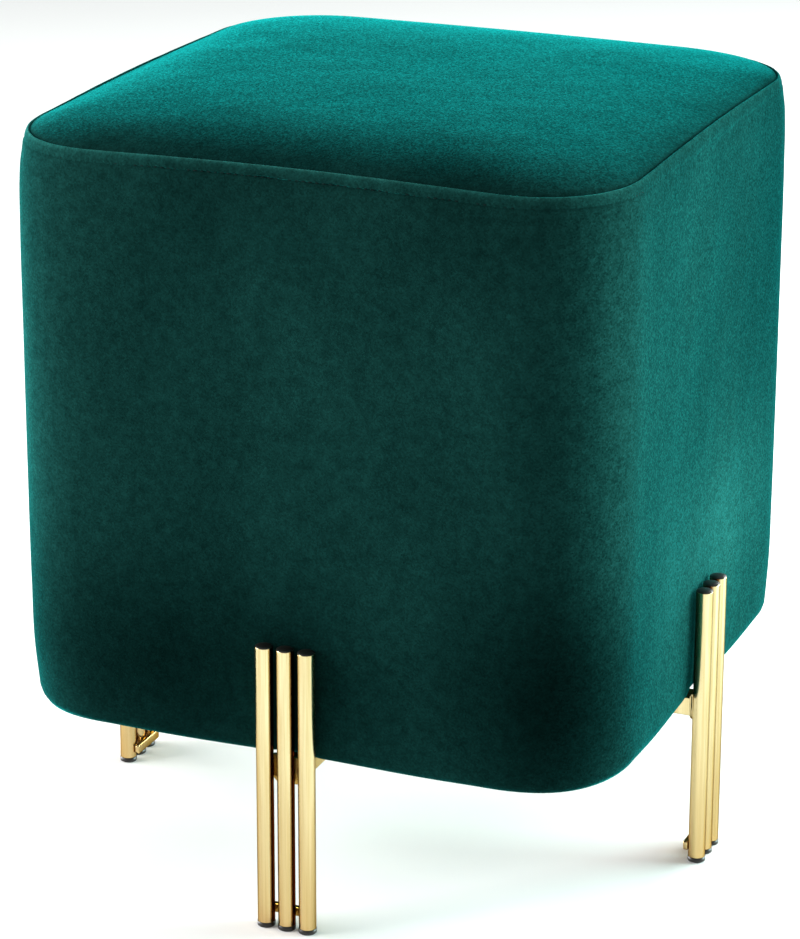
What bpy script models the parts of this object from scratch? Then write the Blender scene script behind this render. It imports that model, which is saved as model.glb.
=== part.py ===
"""Cube pouf stool: a filled velvet cube with a crowned top panel, on four legs of three brass tubes.

Metres, +Z up. The origin lies on the floor under the middle of the seat. The front is towards -Y.
"""

import math

import bpy
import numpy as np

# Fabric cube
SEAM_HEIGHT = 0.4885  # the seam between the side band and the top panel, above the floor
BASE_HEIGHT = 0.1110  # the flat underside of the cube, above the floor
BASE_ROUND = 0.0130  # radius of the edge between the sides and the underside
BASE_ROUND_STEPS = 5
CROWN = 0.0145  # rise of the top panel above its seam

# The side band from its seam down: half width at the corners, how far the middle of each side is drawn in,
# and the corner radius. The last row is where the lower edge starts to turn under.
BAND_ROWS = (
    # height, half width, draw, corner radius
    (SEAM_HEIGHT, 0.1970, 0.0000, 0.0635),
    (0.4850, 0.1990, 0.0002, 0.0645),
    (0.4790, 0.2005, 0.0003, 0.0650),
    (0.4600, 0.2012, 0.0007, 0.0635),
    (0.4270, 0.2016, 0.0011, 0.0635),
    (0.3590, 0.2018, 0.0015, 0.0640),
    (0.2680, 0.2017, 0.0019, 0.0635),
    (0.1900, 0.2016, 0.0026, 0.0640),
    (0.1500, 0.2016, 0.0026, 0.0660),
    (BASE_HEIGHT + BASE_ROUND, 0.2015, 0.0025, 0.0720),
)

# The top panel from its seam inwards: how far inside the seam, the share of the crown reached there,
# and the corner radius.
PANEL_ROWS = (
    # inset, share of the crown, corner radius
    (0.0000, 0.00, 0.0635),
    (0.0010, 0.04, 0.0630),
    (0.0050, 0.12, 0.0625),
    (0.0120, 0.28, 0.0615),
    (0.0220, 0.46, 0.0610),
    (0.0400, 0.68, 0.0600),
    (0.0700, 0.87, 0.0590),
    (0.1100, 0.97, 0.0530),
    (0.1500, 1.00, 0.0360),
)
SIDE_STEPS = 8
CORNER_STEPS = 8

# Legs: three upright tubes in a row at the middle of each side
TUBE_RADIUS = 0.0055
TUBE_BORE = 0.0045
TUBE_TOP = 0.1886
TUBE_PITCH = 0.0141
LEG_AXIS = 0.2068  # from the middle of the stool to the row of tubes
TUBES_PER_LEG = ("a", "b", "c")
LEGS = (
    # side, quarter turns from +X
    ("right", 0),
    ("back", 1),
    ("left", 2),
    ("front", 3),
)

# Plastic caps in both ends of each tube
FOOT_RADIUS = 0.00575
FOOT_HEIGHT = 0.0030
TOP_CAP_RADIUS = 0.0055
TOP_CAP_HEIGHT = 0.0020
CAP_ROUND = 0.0007
STEM_LENGTH = 0.0080
STEM_RADIUS = 0.0042

# Plate behind the tubes just under the cube, and the tie near their feet
PLATE_WIDTH = 0.0240
PLATE_THICKNESS = 0.0030
PLATE_BOTTOM = 0.0965
PLATE_TOP = 0.1150
PLATE_CORNER = 0.0032
TIE_LENGTH = 0.0320
TIE_THICKNESS = 0.0032
TIE_BOTTOM = 0.0062
TIE_TOP = 0.0127
EDGE_BEVEL = 0.0005

# Crossed bars under the cube that join the four plates
BAR_WIDTH = 0.0150
BAR_BOTTOM = 0.0978

GAP = 0.0003  # between pieces that touch or are welded
TURN_STEPS = 20
AXIS_MERGE = 0.00005  # points of a turned profile this close to each other are one
SHARP_ANGLE = math.radians(50)


def clear_scene():
    for obj in list(bpy.data.objects):
        bpy.data.objects.remove(obj, do_unlink=True)


def material(name, colour, roughness, metallic=0.0):
    made = bpy.data.materials.new(name)
    made.use_nodes = True
    shader = made.node_tree.nodes["Principled BSDF"]
    shader.inputs["Base Color"].default_value = (*colour, 1.0)
    shader.inputs["Roughness"].default_value = roughness
    shader.inputs["Metallic"].default_value = metallic
    return made


def add_mesh(name, mesh, finish, collection, parent=None):
    if not mesh.materials:
        mesh.materials.append(finish)
    obj = bpy.data.objects.new(name, mesh)
    obj.parent = parent
    collection.objects.link(obj)
    return obj


def outline(half, draw, corner):
    """One level of the cube: four sides bowed inwards at their middles, joined by round corners."""
    straight = half - corner
    along = np.linspace(-1.0, 1.0, SIDE_STEPS + 1)
    side = np.column_stack([half - draw * (1 - along**2) ** 2, straight * along])
    angle = np.linspace(0.0, math.pi / 2, CORNER_STEPS + 1)[1:-1]
    arc = straight + corner * np.column_stack([np.cos(angle), np.sin(angle)])
    quarter = np.vstack([side, arc])
    turns = ((1, 0), (0, 1), (-1, 0), (0, -1))
    return np.vstack([quarter @ np.array([[c, s], [-s, c]]) for c, s in turns])


def loft(name, levels):
    """A closed mesh through (height, outline) levels, from the bottom up, with a flat face at each end."""
    count = len(levels[0][1])
    points = np.vstack([np.column_stack([xy, np.full(count, z)]) for z, xy in levels])
    faces = [tuple(range(count))[::-1]]
    for level in range(len(levels) - 1):
        low, high = level * count, (level + 1) * count
        for i in range(count):
            j = (i + 1) % count
            faces.append((low + i, low + j, high + j, high + i))
    faces.append(tuple(range(high, high + count)))
    mesh = bpy.data.meshes.new(name)
    mesh.from_pydata(points.tolist(), [], faces)
    mesh.shade_smooth()
    mesh.set_sharp_from_angle(angle=SHARP_ANGLE)
    return mesh


def side_band(finish, collection):
    """The filled cube below the seam, with its lower edge turned under."""
    foot, half, draw, corner = BAND_ROWS[-1]
    levels = []
    for step in range(BASE_ROUND_STEPS, 0, -1):
        angle = step / BASE_ROUND_STEPS * math.pi / 2
        inset = BASE_ROUND * (1 - math.cos(angle))
        levels.append((foot - BASE_ROUND * math.sin(angle), outline(half - inset, draw, corner - inset)))
    for height, half, draw, corner in reversed(BAND_ROWS[1:]):
        levels.append((height, outline(half, draw, corner)))
    height, half, draw, corner = BAND_ROWS[0]
    levels.append((height - GAP / 2, outline(half, draw, corner)))
    return add_mesh("side_band", loft("side_band", levels), finish, collection)


def top_panel(finish, collection):
    """The crowned panel above the seam: it rolls up from there and flattens towards its middle."""
    seam_half = BAND_ROWS[0][1]
    levels = [
        (SEAM_HEIGHT + GAP / 2 + (CROWN - GAP / 2) * share, outline(seam_half - inset, 0.0, corner))
        for inset, share, corner in PANEL_ROWS
    ]
    return add_mesh("top_panel", loft("top_panel", levels), finish, collection)


def turned(name, profile, closed):
    """A mesh that holds a (radius, height) profile, for a Screw modifier to turn about the Z axis."""
    points = [(radius, 0.0, height) for radius, height in profile]
    edges = [(i, i + 1) for i in range(len(points) - 1)]
    if closed:
        edges.append((len(points) - 1, 0))
    mesh = bpy.data.meshes.new(name)
    mesh.from_pydata(points, edges, [])
    return mesh


def add_turned(name, mesh, finish, collection, parent, place):
    obj = add_mesh(name, mesh, finish, collection, parent)
    obj.location = place
    screw = obj.modifiers.new("Turn", "SCREW")
    screw.steps = TURN_STEPS
    screw.render_steps = TURN_STEPS
    screw.use_merge_vertices = True
    screw.merge_threshold = AXIS_MERGE
    screw.use_smooth_shade = True
    return obj


def tube_profile():
    low, high = FOOT_HEIGHT + GAP, TUBE_TOP
    return [(TUBE_RADIUS, high), (TUBE_RADIUS, low), (TUBE_BORE, low), (TUBE_BORE, high)]


def cap_profile(radius, height):
    """A plug seen from its stem's side: the head lies above 0 with a rounded rim, the stem below it."""
    return [
        (0.0, height),
        (radius - CAP_ROUND, height),
        (radius, height - CAP_ROUND),
        (radius, 0.0),
        (STEM_RADIUS, 0.0),
        (STEM_RADIUS, -STEM_LENGTH),
        (0.0, -STEM_LENGTH),
    ]


def foot_profile():
    """The same plug upside down, with its tread at height 0, still run from top to bottom."""
    flipped = cap_profile(FOOT_RADIUS, FOOT_HEIGHT)
    return [(radius, FOOT_HEIGHT - height) for radius, height in reversed(flipped)]


def prism(name, outline_points, thickness):
    """An outline in the YZ plane, given as (y, z), made as thick as said along +X."""
    count = len(outline_points)
    points = [(x, y, z) for x in (0.0, thickness) for y, z in outline_points]
    faces = [tuple(range(count))[::-1], tuple(range(count, 2 * count))]
    faces += [(i, (i + 1) % count, (i + 1) % count + count, i + count) for i in range(count)]
    mesh = bpy.data.meshes.new(name)
    mesh.from_pydata(points, [], faces)
    return mesh


def add_bevel(obj, width):
    bevel = obj.modifiers.new("Edges", "BEVEL")
    bevel.width = width
    bevel.segments = 1
    bevel.limit_method = "ANGLE"
    return obj


def plate_mesh():
    """The upper plate with its two lower corners cut off."""
    half, cut = PLATE_WIDTH / 2, PLATE_CORNER
    corners = [
        (-half, PLATE_BOTTOM + cut),
        (-half + cut, PLATE_BOTTOM),
        (half - cut, PLATE_BOTTOM),
        (half, PLATE_BOTTOM + cut),
        (half, PLATE_TOP),
        (-half, PLATE_TOP),
    ]
    return prism("plate", corners, PLATE_THICKNESS)


def tie_mesh():
    half = TIE_LENGTH / 2
    corners = [(-half, TIE_BOTTOM), (half, TIE_BOTTOM), (half, TIE_TOP), (-half, TIE_TOP)]
    return prism("tie", corners, TIE_THICKNESS)


def bar_mesh(name, start, end):
    """A bar along +X from start to end, its top just under the cube."""
    half, high = BAR_WIDTH / 2, BASE_HEIGHT - GAP
    corners = [(-half, BAR_BOTTOM), (half, BAR_BOTTOM), (half, high), (-half, high)]
    mesh = prism(name, corners, end - start)
    for vertex in mesh.vertices:
        vertex.co.x += start
    return mesh


def quarter_turn_empty(name, turns, collection):
    """An empty at the origin that turns what it holds from +X to its own side."""
    empty = bpy.data.objects.new(name, None)
    empty.rotation_euler.z = turns * math.pi / 2
    collection.objects.link(empty)
    return empty


def add_legs(brass, plastic, collection):
    tube = turned("tube", tube_profile(), closed=True)
    top_cap = turned("top_cap", cap_profile(TOP_CAP_RADIUS, TOP_CAP_HEIGHT), closed=False)
    foot_cap = turned("foot_cap", foot_profile(), closed=False)
    plate, tie = plate_mesh(), tie_mesh()
    inner_face = LEG_AXIS - TUBE_RADIUS - GAP
    for side, turns in LEGS:
        leg = quarter_turn_empty(f"leg_{side}", turns, collection)
        for number, letter in enumerate(TUBES_PER_LEG):
            y = (number - 1) * TUBE_PITCH
            tag = f"{side}_{letter}"
            add_turned(f"tube_{tag}", tube, brass, collection, leg, (LEG_AXIS, y, 0.0))
            add_turned(f"foot_cap_{tag}", foot_cap, plastic, collection, leg, (LEG_AXIS, y, 0.0))
            top = (LEG_AXIS, y, TUBE_TOP + GAP)
            add_turned(f"top_cap_{tag}", top_cap, plastic, collection, leg, top)
        upper = add_mesh(f"plate_{side}", plate, brass, collection, leg)
        upper.location.x = inner_face - PLATE_THICKNESS
        add_bevel(upper, EDGE_BEVEL)
        lower = add_mesh(f"tie_{side}", tie, brass, collection, leg)
        lower.location.x = inner_face - TIE_THICKNESS
        add_bevel(lower, EDGE_BEVEL)


def add_cross_bars(brass, collection):
    """One bar runs right across from the left plate to the right one, and two halves butt against it."""
    reach = LEG_AXIS - TUBE_RADIUS - PLATE_THICKNESS - 2 * GAP
    add_bevel(add_mesh("cross_bar", bar_mesh("cross_bar", -reach, reach), brass, collection), EDGE_BEVEL)
    half = bar_mesh("half_bar", BAR_WIDTH / 2 + GAP, reach)
    for side, turns in LEGS:
        if side in ("front", "back"):
            bar = add_mesh(f"half_bar_{side}", half, brass, collection)
            bar.rotation_euler.z = turns * math.pi / 2
            add_bevel(bar, EDGE_BEVEL)


def main():
    clear_scene()
    stool = bpy.data.collections.new("cube_pouf_stool")
    bpy.context.scene.collection.children.link(stool)
    velvet = material("velvet", (0.004, 0.075, 0.066), 0.85)
    brass = material("polished brass", (0.78, 0.58, 0.28), 0.28, metallic=1.0)
    plastic = material("black plastic", (0.02, 0.018, 0.016), 0.5)
    side_band(velvet, stool)
    top_panel(velvet, stool)
    add_legs(brass, plastic, stool)
    add_cross_bars(brass, stool)


main()
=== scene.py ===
"""Cube pouf stool: its velvet, seam, brass legs and plastic caps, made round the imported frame.

Metres, +Z up, front towards -Y, as in the frame. A new piece is a grid of points worked out with numpy.
"""

import math

import bpy
import numpy as np
from mathutils import Matrix, Vector


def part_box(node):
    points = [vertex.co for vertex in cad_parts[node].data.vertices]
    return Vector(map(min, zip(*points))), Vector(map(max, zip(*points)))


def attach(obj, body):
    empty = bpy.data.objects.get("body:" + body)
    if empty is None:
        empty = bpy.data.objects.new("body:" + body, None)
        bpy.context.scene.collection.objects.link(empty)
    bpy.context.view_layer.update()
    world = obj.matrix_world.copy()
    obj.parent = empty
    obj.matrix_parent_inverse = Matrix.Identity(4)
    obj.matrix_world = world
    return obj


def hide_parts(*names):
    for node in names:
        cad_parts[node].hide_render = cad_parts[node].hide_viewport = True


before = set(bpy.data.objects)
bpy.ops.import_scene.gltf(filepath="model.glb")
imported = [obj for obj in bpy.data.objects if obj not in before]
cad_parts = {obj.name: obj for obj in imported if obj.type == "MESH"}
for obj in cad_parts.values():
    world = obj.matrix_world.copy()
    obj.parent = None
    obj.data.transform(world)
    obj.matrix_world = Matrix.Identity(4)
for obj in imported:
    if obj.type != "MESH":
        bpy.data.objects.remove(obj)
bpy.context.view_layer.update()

# Velvet cube. The frame gives its heights, and the tables below its shape between them.
BAND_LOW, BAND_HIGH = (corner.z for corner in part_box("side_band"))
PANEL_LOW, PANEL_HIGH = (corner.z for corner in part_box("top_panel"))
SEAM_HEIGHT = (BAND_HIGH + PANEL_LOW) / 2
SEAM_HALF = 0.1962  # half the width at the seam
SEAM_CORNER = 0.0627  # the seam's radius round a corner, in plan
ARCH_MEAN = -0.0018  # the seam's mean height above SEAM_HEIGHT
ARCH_SWING = 0.0013  # it rises this much at the middle of a side, and sinks as much at a corner
ARCH_REACH = 0.040  # how far down the side the arch is still felt
PANEL_ARCH = 0.45  # the share of the arch that the top panel keeps
BASE_ROUND = 0.0130  # radius of the turned-under lower edge

# The band from the seam down. The first rows lie hidden behind the seam roll, and its crease is the third.
BAND_ROWS = (
    # below the seam, half width, drawn in at mid side, corner radius
    (0.0000, 0.1953, 0.0000, 0.0625),
    (0.0028, 0.1975, 0.0002, 0.0635),
    (0.0045, 0.1991, 0.0003, 0.0640),
    (0.0056, 0.1999, 0.0003, 0.0645),
    (0.0075, 0.2003, 0.0003, 0.0650),
    (0.0115, 0.2006, 0.0004, 0.0645),
    (0.0185, 0.2013, 0.0006, 0.0640),
    (0.0285, 0.2017, 0.0009, 0.0635),
    (0.0615, 0.2022, 0.0014, 0.0635),
    (0.1295, 0.2024, 0.0018, 0.0640),
    (0.2205, 0.2023, 0.0022, 0.0635),
    (0.2985, 0.2022, 0.0029, 0.0640),
    (0.3385, 0.2022, 0.0029, 0.0660),
    (0.3645, 0.2021, 0.0028, 0.0720),
)

# The lower edge sags below the flat base between the legs, each side by its own amount, and at the corners.
SAG_OF_SIDES = (0.0038, 0.0020, 0.0022, 0.0017)  # right, back, left, front
SAG_OF_CORNERS = 0.0014
SAG_REACH = 0.060  # how far up the side the sag is felt
SAG_DEPTH = 0.022  # and how far in under the base
SAG_BREAK = 0.014  # on either side of a leg the bar under the base holds the cloth up over this length

# The panel rolls up steeply out of the seam and then eases into its crown.
ROLL_SHARE = 0.13  # of the crown's height
ROLL_DEPTH = 0.0018  # how far in from the seam the roll reaches
CROWN_EASE = 0.034  # the crown closes in on its full height over this length
CROWN_ROUNDING = 1.5  # a power: how late, on the way in to its middle, the panel's outline turns round

SIDE_SHARE = 0.70  # of each quarter of the way round is side, and the rest corner
FRONT_TURN = (3 + SIDE_SHARE / 2) / 4  # the middle of the front, as a share of the way round
SOFTEN = 0.009  # the way round is averaged over this length, as padding rounds a frame's edge

# Filling: it swells the cloth between the seam and the base, most at the middle of a side
SWELL = 0.0013  # the room left for it
SWELL_CAP = 0.0050  # and the most that it moves the cloth
SWELL_CELL = 0.0080  # of the coarse grid that is filled
SEWN_REACH = 0.6 * SWELL_CELL  # rows this near the seam are sewn down
SWELL_FRAMES = 20
SWELL_PRESSURE = 4.0
HOLD_FRAME, HOLD_PADDING = 0.30, 0.20  # how firmly the frame's edges and the padding hold the cloth
HOLD_STEPS = 24  # from the one to the other
TACKED = 0.17  # from the middle of the base out, the cloth is tacked down over this length
SOFT_UNDER_SEAM = 0.025  # the seam holds the cloth over about this length below it
SOFT_PAST_TACKS = 0.06  # and the tacks over this length beyond them
LUMP = 0.0004  # the padding's unevenness
LUMP_SHORTEST, LUMP_LONGEST, LUMP_WAVES = 0.07, 0.20, 7

# How closely the section and the cloth are divided
CROWN_EDGE = 0.03  # from this far inside the seam outwards the section's points lie closer
CROWN_STEPS, CROWN_EDGE_STEPS, BAND_STEPS, BASE_STEPS, ARC_STEPS = 200, 100, 900, 200, 40
CLOTH_COLUMNS = 720
CLOTH_STEP = 0.0035
PANEL_FIRST = 0.02  # the panel's first row, as a share of the way to the seam, before they crowd
PANEL_CROWDING = 1.6  # a power: how much its rows crowd towards the seam
NEAR_SEAM, NEAR_SEAM_ROWS = 0.018, 24
BASE_FIRST, BASE_LAST, BASE_ROWS = 0.2, 0.004, 14  # the base's first and last rows, measured from its middle

# Seam roll: the folded edge that stands over the seam, with a row of stitches below it
SEAM_ROLL = (
    # outwards and up from the seam: where the roll is creased by its stitches, and where it lies smooth
    (0.0003, 0.0012, 0.0003, 0.0012),
    (0.0008, 0.0019, 0.0008, 0.0019),
    (0.0015, 0.0020, 0.0015, 0.0020),
    (0.0021, 0.0013, 0.0022, 0.0012),
    (0.0027, 0.0000, 0.0029, -0.0002),
    (0.0033, -0.0018, 0.0035, -0.0022),
    (0.0037, -0.0034, 0.0039, -0.0048),
    (0.0037, -0.0041, 0.0038, -0.0072),
    (0.0032, -0.0046, 0.0030, -0.0104),
    (0.0014, -0.0044, 0.0014, -0.0085),
    (0.0002, -0.0030, 0.0002, -0.0030),
    (-0.0002, -0.0010, -0.0002, -0.0010),
    (0.0000, 0.0003, 0.0000, 0.0003),
)
SEAM_ROLL_TALL = 0.0046  # from the seam down to its creased edge
SEAM_COLUMNS = 1800
SEAM_ROLL_STEPS = 28
STITCH_PITCH = 0.0042
STITCH_LENGTH = 0.0027
STITCH_RADIUS = 0.00034
STITCH_SIDES = 6
# A stitch's rings: their places along it and their thickness, as shares of its reach and radius
STITCH_RINGS = ((-1.0, 0.35), (-0.8, 0.85), (0.0, 1.0), (0.8, 0.85), (1.0, 0.35))
STITCH_SHORTEST, STITCH_LONGEST = 0.6, 1.1  # as shares of STITCH_LENGTH
STITCH_SUNK = 0.0006  # how deep the pile hides some of the stitches
STITCH_OUT, STITCH_UP = 0.0034, -0.0047  # from the seam
PULLED_IN, PULLED_UP = 0.00035, 0.00025  # how far a stitch pulls the roll's lower edge
WANDER_OUT, WANDER_UP = 0.00012, 0.00030  # how unevenly the roll lies
WANDER_WAVES = (9, 23, 41, 67)  # round the seam
RIDGE_PAINTED_LIGHT, RIDGE_FADE = 2.6, 0.0007  # a painted highlight along the ridge, and the depth over which it fades
LIP_PAINTED_LIGHT, LIP_FADE = 1.2, 0.0034  # and painted light, fainter, down the roll below it
SMOOTH_LIGHT_SHARE = 0.35  # the share of that left where the roll lies smooth

TUFT = 0.0010  # clumps of pile, drawn about twice as coarse as they are so that they show
TUFT_LEAN = 0.155  # how far apart two clumps may lean, as a slope
MOTTLE = 0.007  # patches where the pile lies one way
NAP_PATCH, NAP_STRETCH = 0.10, (1.0, 1.0, 0.45)  # and broad ones, taller than they are wide
NAP_LEAN = 0.0025  # how high those stand in the pile

# Soft patches that darken or lighten the cloth's colour, some of them painted shade and painted light
NAP_AND_LIGHT_PATCHES = (
    # place, reach across, reach in height, strength
    # painted shade down the front-right corner, painted light near its top, and painted shade at its foot
    ((0.185, -0.190, 0.300), 0.035, 0.30, -0.10),
    ((0.197, -0.165, 0.350), 0.035, 0.20, 0.50),
    ((0.172, -0.190, 0.180), 0.050, 0.07, -0.90),
    # darker patches on the front, near its top right and its lower left
    ((0.120, -0.200, 0.460), 0.040, 0.04, -0.30),
    ((-0.075, -0.200, 0.170), 0.080, 0.06, -0.45),
    # painted light low on the right side, and painted shade towards its back
    ((0.200, 0.040, 0.195), 0.150, 0.075, 1.00),
    ((0.200, 0.130, 0.400), 0.080, 0.17, -0.60),
    # a painted highlight down the left front edge
    ((-0.197, -0.160, 0.300), 0.030, 0.32, 0.75),
    # lighter patches on the front
    ((-0.150, -0.200, 0.470), 0.050, 0.05, 0.05),
    ((0.090, -0.200, 0.340), 0.050, 0.08, 0.12),
    # nap on the back and left sides
    ((-0.185, 0.190, 0.280), 0.040, 0.25, -0.35),
    ((0.060, 0.200, 0.200), 0.090, 0.07, -0.40),
    ((-0.080, 0.200, 0.400), 0.060, 0.09, 0.20),
    ((-0.200, -0.060, 0.220), 0.080, 0.06, -0.35),
    ((-0.200, 0.050, 0.400), 0.070, 0.08, 0.15),
)
# And painted shade, a darker band above the foot: its strength, height and reach
PAINTED_FOOT_SHADE, FOOT_SHADE_AT, FOOT_SHADE_REACH = -0.40, 0.165, 0.055

SEED = 7

# Legs
QUARTERS = (("right", 0), ("back", 1), ("left", 2), ("front", 3))
ROUND_STEPS = 64
RIM_ROUND = 0.00025
TUBE_WALL = 0.0010
FACE_BEVEL = 0.0008
CORNER_ROUND = 0.0014
EDGE_STEPS, CORNER_STEPS = 4, 6
PLATE_CUT = 0.0032  # off each lower corner of a plate
TOP_CAP_SUNK = 0.0008  # the caps' heads are flatter than the room kept for them
TOP_CAP_INSET = 0.0001  # and a little narrower
TOP_DOME, FOOT_DOME = 1.0, 0.35  # how far the dome below rounds the end of each cap
DOME_HEIGHT, DOME_STEPS = 0.0016, 9
DOME_TURN = 0.94  # of a quarter turn, which leaves a small flat at its middle
CAP_NECK = 0.6  # the head's underside starts this share of the radius in
CAP_EDGE_IN, CAP_EDGE_UP = 0.0004, 0.0003  # its bevelled edge

# Finishes: the sizes of their patterns. Lines, grain and twist are drawn coarser than real, so as to show.
DRAWN_LINE, STREAK = 0.0006, 0.0025
DRAWN_OUT = (1.0, 1.0, 0.02)  # which draws both out along the tube
CLOUD = 0.018  # where the polish is a little duller
LOW_PAINTED_SHADE_HEIGHT = 0.15  # below this height the brass is painted browner towards the floor: painted shade
# Painted shade on the flanks between tubes: how squarely a tube faces its neighbour where the darkening
# starts, and where it is full
FLANK_SHADE_SPAN = (0.78, 0.97)
PLASTIC_GRAIN = 0.0005
THREAD_TWIST = 0.0004
ROLLER_MARK = 0.3
FINE_RELIEF = 0.00005  # the height of drawn lines and of the plastic's grain
NOISE_SPAN = {"From Min": 0.3, "From Max": 0.7}  # nearly all of a noise lies between these

# Camera: where the photograph was taken from
CAMERA_AZIMUTH = math.radians(22.147)
CAMERA_ELEVATION = math.radians(18.659)
CAMERA_ROLL = math.radians(0.222)
CAMERA_DISTANCE = 2.3556
CAMERA_TARGET = Vector((0.0, 0.0, 0.2754))
PHOTO_WIDTH, PHOTO_HEIGHT = 800, 939
FOCAL_PIXELS = 3604.1
CENTRE_PIXEL = (413.34, 415.12)
SENSOR_WIDTH = 36.0  # in millimetres, as Blender has it

# Studio: softboxes round the stool, all at one distance and aimed at one point
SOFTBOXES = (
    # name, azimuth from +X, elevation, watts, width, height, colour
    ("low right box", 30, 6, 122.0, 1.4, 0.9, "DCFFFC"),
    ("back right box", 60, 18, 56.0, 1.4, 0.9, "FFFFFF"),
    ("front left box", 210, 18, 55.0, 1.4, 0.9, "FFFFFF"),
    ("low left box", 180, 0, 95.0, 1.4, 0.5, "FFFFFF"),
)
SOFTBOX_DISTANCE = 2.4
SOFTBOX_AIM = Vector((0.0, 0.0, 0.3))
ROOM_LIGHT = 0.5
FLOOR_HALF = 20.0


def linear(code):
    """An sRGB hex colour, such as "1A2B3C", as linear red, green and blue, and an alpha of 1."""
    values = [int(code[i : i + 2], 16) / 255 for i in (0, 2, 4)]
    return (*(v / 12.92 if v <= 0.04045 else ((v + 0.055) / 1.055) ** 2.4 for v in values), 1.0)


def add_node(tree, kind, inputs=None, **settings):
    """Adds a node, sets its settings, and gives each input a value or a link from another socket."""
    node = tree.nodes.new(kind)
    for name, value in settings.items():
        setattr(node, name, value)
    for key, value in (inputs or {}).items():
        if isinstance(value, bpy.types.NodeSocket):
            tree.links.new(value, node.inputs[key])
        else:
            node.inputs[key].default_value = value
    return node


def new_material(name):
    """A material with an empty node tree, and that tree."""
    made = bpy.data.materials.new(name)
    made.use_nodes = True
    made.node_tree.nodes.clear()
    return made, made.node_tree


def new_object(name, data):
    """An object of the data, in the scene."""
    made = bpy.data.objects.new(name, data)
    bpy.context.scene.collection.objects.link(made)
    return made


def unit(vectors):
    """The vectors, each at a length of 1."""
    return vectors / np.maximum(np.linalg.norm(vectors, axis=-1, keepdims=True), 1e-12)


# ---------------------------------------------------------------- materials


def dyed_velvet():
    """Polyester velvet, woven, dyed teal and brushed: a short pile, dark seen straight on and bright seen
    at a slant, where its sheen shows. Clumps of pile, a mottle, patches, and painted shade and light vary
    it, with a painted highlight along the seam's ridge."""
    made, tree = new_material("dyed velvet")
    place = add_node(tree, "ShaderNodeTexCoord").outputs["Object"]
    tufts = add_node(tree, "ShaderNodeTexVoronoi", {"Vector": place, "Scale": 1 / TUFT}, feature="F1")
    mottle = add_node(
        tree, "ShaderNodeTexNoise", {"Vector": place, "Scale": 1 / MOTTLE, "Detail": 3.0, "Roughness": 0.6}
    )
    brushed = add_node(tree, "ShaderNodeMapping", {"Vector": place, "Scale": NAP_STRETCH})
    nap = add_node(
        tree,
        "ShaderNodeTexNoise",
        {"Vector": brushed.outputs["Vector"], "Scale": 1 / NAP_PATCH, "Detail": 2.0, "Roughness": 0.5},
    )
    shade = add_node(
        tree,
        "ShaderNodeMix",
        {"Factor": tufts.outputs["Color"], "A": linear("08221F"), "B": linear("0F3330")},
        data_type="RGBA",
    )
    patches = add_node(
        tree,
        "ShaderNodeMapRange",
        {"Value": mottle.outputs["Fac"], **NOISE_SPAN, "To Min": 0.8, "To Max": 1.25},
    )
    tone = add_node(
        tree,
        "ShaderNodeMapRange",
        {"Value": nap.outputs["Fac"], **NOISE_SPAN, "To Min": 0.75, "To Max": 1.2},
    )
    both = add_node(
        tree,
        "ShaderNodeMath",
        {0: tone.outputs["Result"], 1: patches.outputs["Result"]},
        operation="MULTIPLY",
    )
    # The nap attribute: a factor on the colour from patches of painted shade and light and of nap, a painted
    # shade band above the foot, and the seam ridge's painted highlight.
    nap_and_painted_light = add_node(tree, "ShaderNodeAttribute", attribute_name="nap")
    depth = add_node(
        tree,
        "ShaderNodeMath",
        {0: both.outputs["Value"], 1: nap_and_painted_light.outputs["Fac"]},
        operation="MULTIPLY",
    )
    pile = add_node(
        tree,
        "ShaderNodeVectorMath",
        {0: shade.outputs["Result"], "Scale": depth.outputs["Value"]},
        operation="SCALE",
    )
    # Painted highlight: along the seam's ridge, where the factor is high, the colour is mixed a little
    # towards a pale grey-green.
    ridge_highlight = add_node(
        tree,
        "ShaderNodeMapRange",
        {"Value": nap_and_painted_light.outputs["Fac"], "From Min": 3.0, "From Max": 5.0, "To Max": 0.08},
    )
    colour = add_node(
        tree,
        "ShaderNodeMix",
        {"Factor": ridge_highlight.outputs["Result"], "A": pile.outputs["Vector"], "B": linear("6E9C90")},
        data_type="RGBA",
    )
    lean = add_node(
        tree, "ShaderNodeBump", {"Height": nap.outputs["Fac"], "Strength": 1.0, "Distance": NAP_LEAN}
    )
    # Each clump of pile leans its own way: its random vector, from -0.5 to 0.5 each way, tilts the normal.
    own_way = add_node(
        tree, "ShaderNodeVectorMath", {0: tufts.outputs["Color"], 1: (0.5, 0.5, 0.5)}, operation="SUBTRACT"
    )
    tilted = add_node(
        tree,
        "ShaderNodeVectorMath",
        {0: own_way.outputs["Vector"], 1: (TUFT_LEAN,) * 3, 2: lean.outputs["Normal"]},
        operation="MULTIPLY_ADD",
    )
    facing = add_node(tree, "ShaderNodeVectorMath", {0: tilted.outputs["Vector"]}, operation="NORMALIZE")
    shader = add_node(
        tree,
        "ShaderNodeBsdfPrincipled",
        {
            "Base Color": colour.outputs["Result"],
            "Roughness": 0.85,
            "Specular IOR Level": 0.0,
            "Sheen Weight": 1.0,
            "Sheen Roughness": 0.30,
            "Sheen Tint": linear("0C8C8A"),
            "Normal": facing.outputs["Vector"],
        },
    )
    add_node(tree, "ShaderNodeOutputMaterial", {"Surface": shader.outputs["BSDF"]})
    return made


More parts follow.
